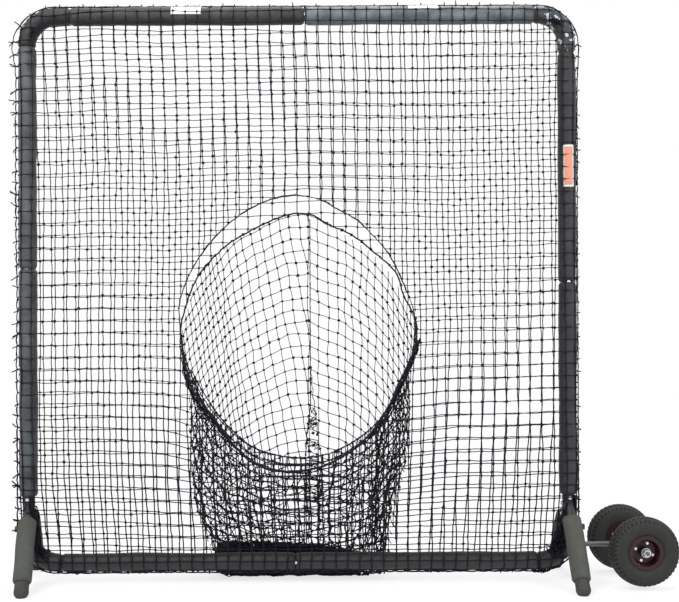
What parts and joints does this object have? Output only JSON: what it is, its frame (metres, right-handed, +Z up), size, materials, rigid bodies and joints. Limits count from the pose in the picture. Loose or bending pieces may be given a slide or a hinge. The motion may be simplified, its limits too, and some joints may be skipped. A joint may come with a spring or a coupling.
{
  "type": "pitching target net",
  "caption": "Square padded tube screen with a net, a round target hole and a catching sock, on splayed legs, with a wheel kit at one lower corner.",
  "frame": {"origin": "on the ground, under the middle of the whole object's box", "axes": "+X to the pitcher's right, towards the wheel kit; +Y away from the pitcher, into the sock; +Z up"},
  "size_m": [2.4869, 0.6978, 2.2006],
  "materials": {
    "paint": "satin black paint on steel",
    "zinc": "bright zinc plate",
    "pad": "charcoal foam with a smooth skin",
    "leg_pad": "matt grey-green foam",
    "foot": "moulded rubber",
    "knob": "moulded",
    "tyre": "moulded tread",
    "air_tube": "moulded",
    "rim": "dark maroon enamel",
    "hub": "dark maroon enamel",
    "bearing": "ground",
    "net": "knotted twine",
    "rope": "laid rope"
  },
  "bodies": {
    "screen": {"frame_tube_top_left": "paint", "frame_tube_top_right": "paint", "frame_tube_bottom_left": "paint", "frame_tube_bottom_right": "paint", "leg_socket_left": "paint", "leg_socket_right": "paint", "leg_tube_front_left": "paint", "leg_tube_front_right": "paint", "leg_tube_rear_left": "paint", "leg_tube_rear_right": "paint", "frame_bolts": "zinc", "frame_nuts": "zinc", "wheel_arm": "zinc", "wheel_arm_bolts": "zinc", "wheel_arm_nuts": "zinc", "axle": "zinc", "axle_washers": "zinc", "axle_nuts": "zinc", "pad_top_left": "pad", "pad_top_right": "pad", "pad_left_upper": "pad", "pad_left_lower": "pad", "pad_right_upper": "pad", "pad_right_lower": "pad", "pad_bottom_left": "pad", "pad_bottom_right": "pad", "pad_corner_top_left": "pad", "pad_corner_top_right": "pad", "pad_corner_bottom_left": "pad", "pad_corner_bottom_right": "pad", "leg_pad_front_left": "leg_pad", "leg_pad_front_right": "leg_pad", "leg_pad_rear_left": "leg_pad", "leg_pad_rear_right": "leg_pad", "foot_tip_front_left": "foot", "foot_tip_front_right": "foot", "foot_tip_rear_left": "foot", "foot_tip_rear_right": "foot", "leg_screws": "knob", "net_front": "net", "net_back": "net", "net_edge_strands": "net", "sock": "net", "net_edge_cords": "rope", "target_ring_front": "rope", "target_ring_back": "rope"},
    "wheel_front": {"tyre_front": "tyre", "inner_tube_front": "air_tube", "rim_outer_front": "rim", "rim_inner_front": "rim", "hub_front": "hub", "bearings_front": "bearing", "rim_fasteners_front": "zinc"},
    "wheel_rear": {"tyre_rear": "tyre", "inner_tube_rear": "air_tube", "rim_outer_rear": "rim", "rim_inner_rear": "rim", "hub_rear": "hub", "bearings_rear": "bearing", "rim_fasteners_rear": "zinc"}
  },
  "joints": [
    {"name": "wheel_front_spin", "type": "hinge", "parent": "screen", "child": "wheel_front", "pos_m": [1.11547, -0.23614, 0.139], "axis": [0, 1, 0], "continuous": true},
    {"name": "wheel_rear_spin", "type": "hinge", "parent": "screen", "child": "wheel_rear", "pos_m": [1.11547, 0.05387, 0.139], "axis": [0, 1, 0], "continuous": true}
  ]
}
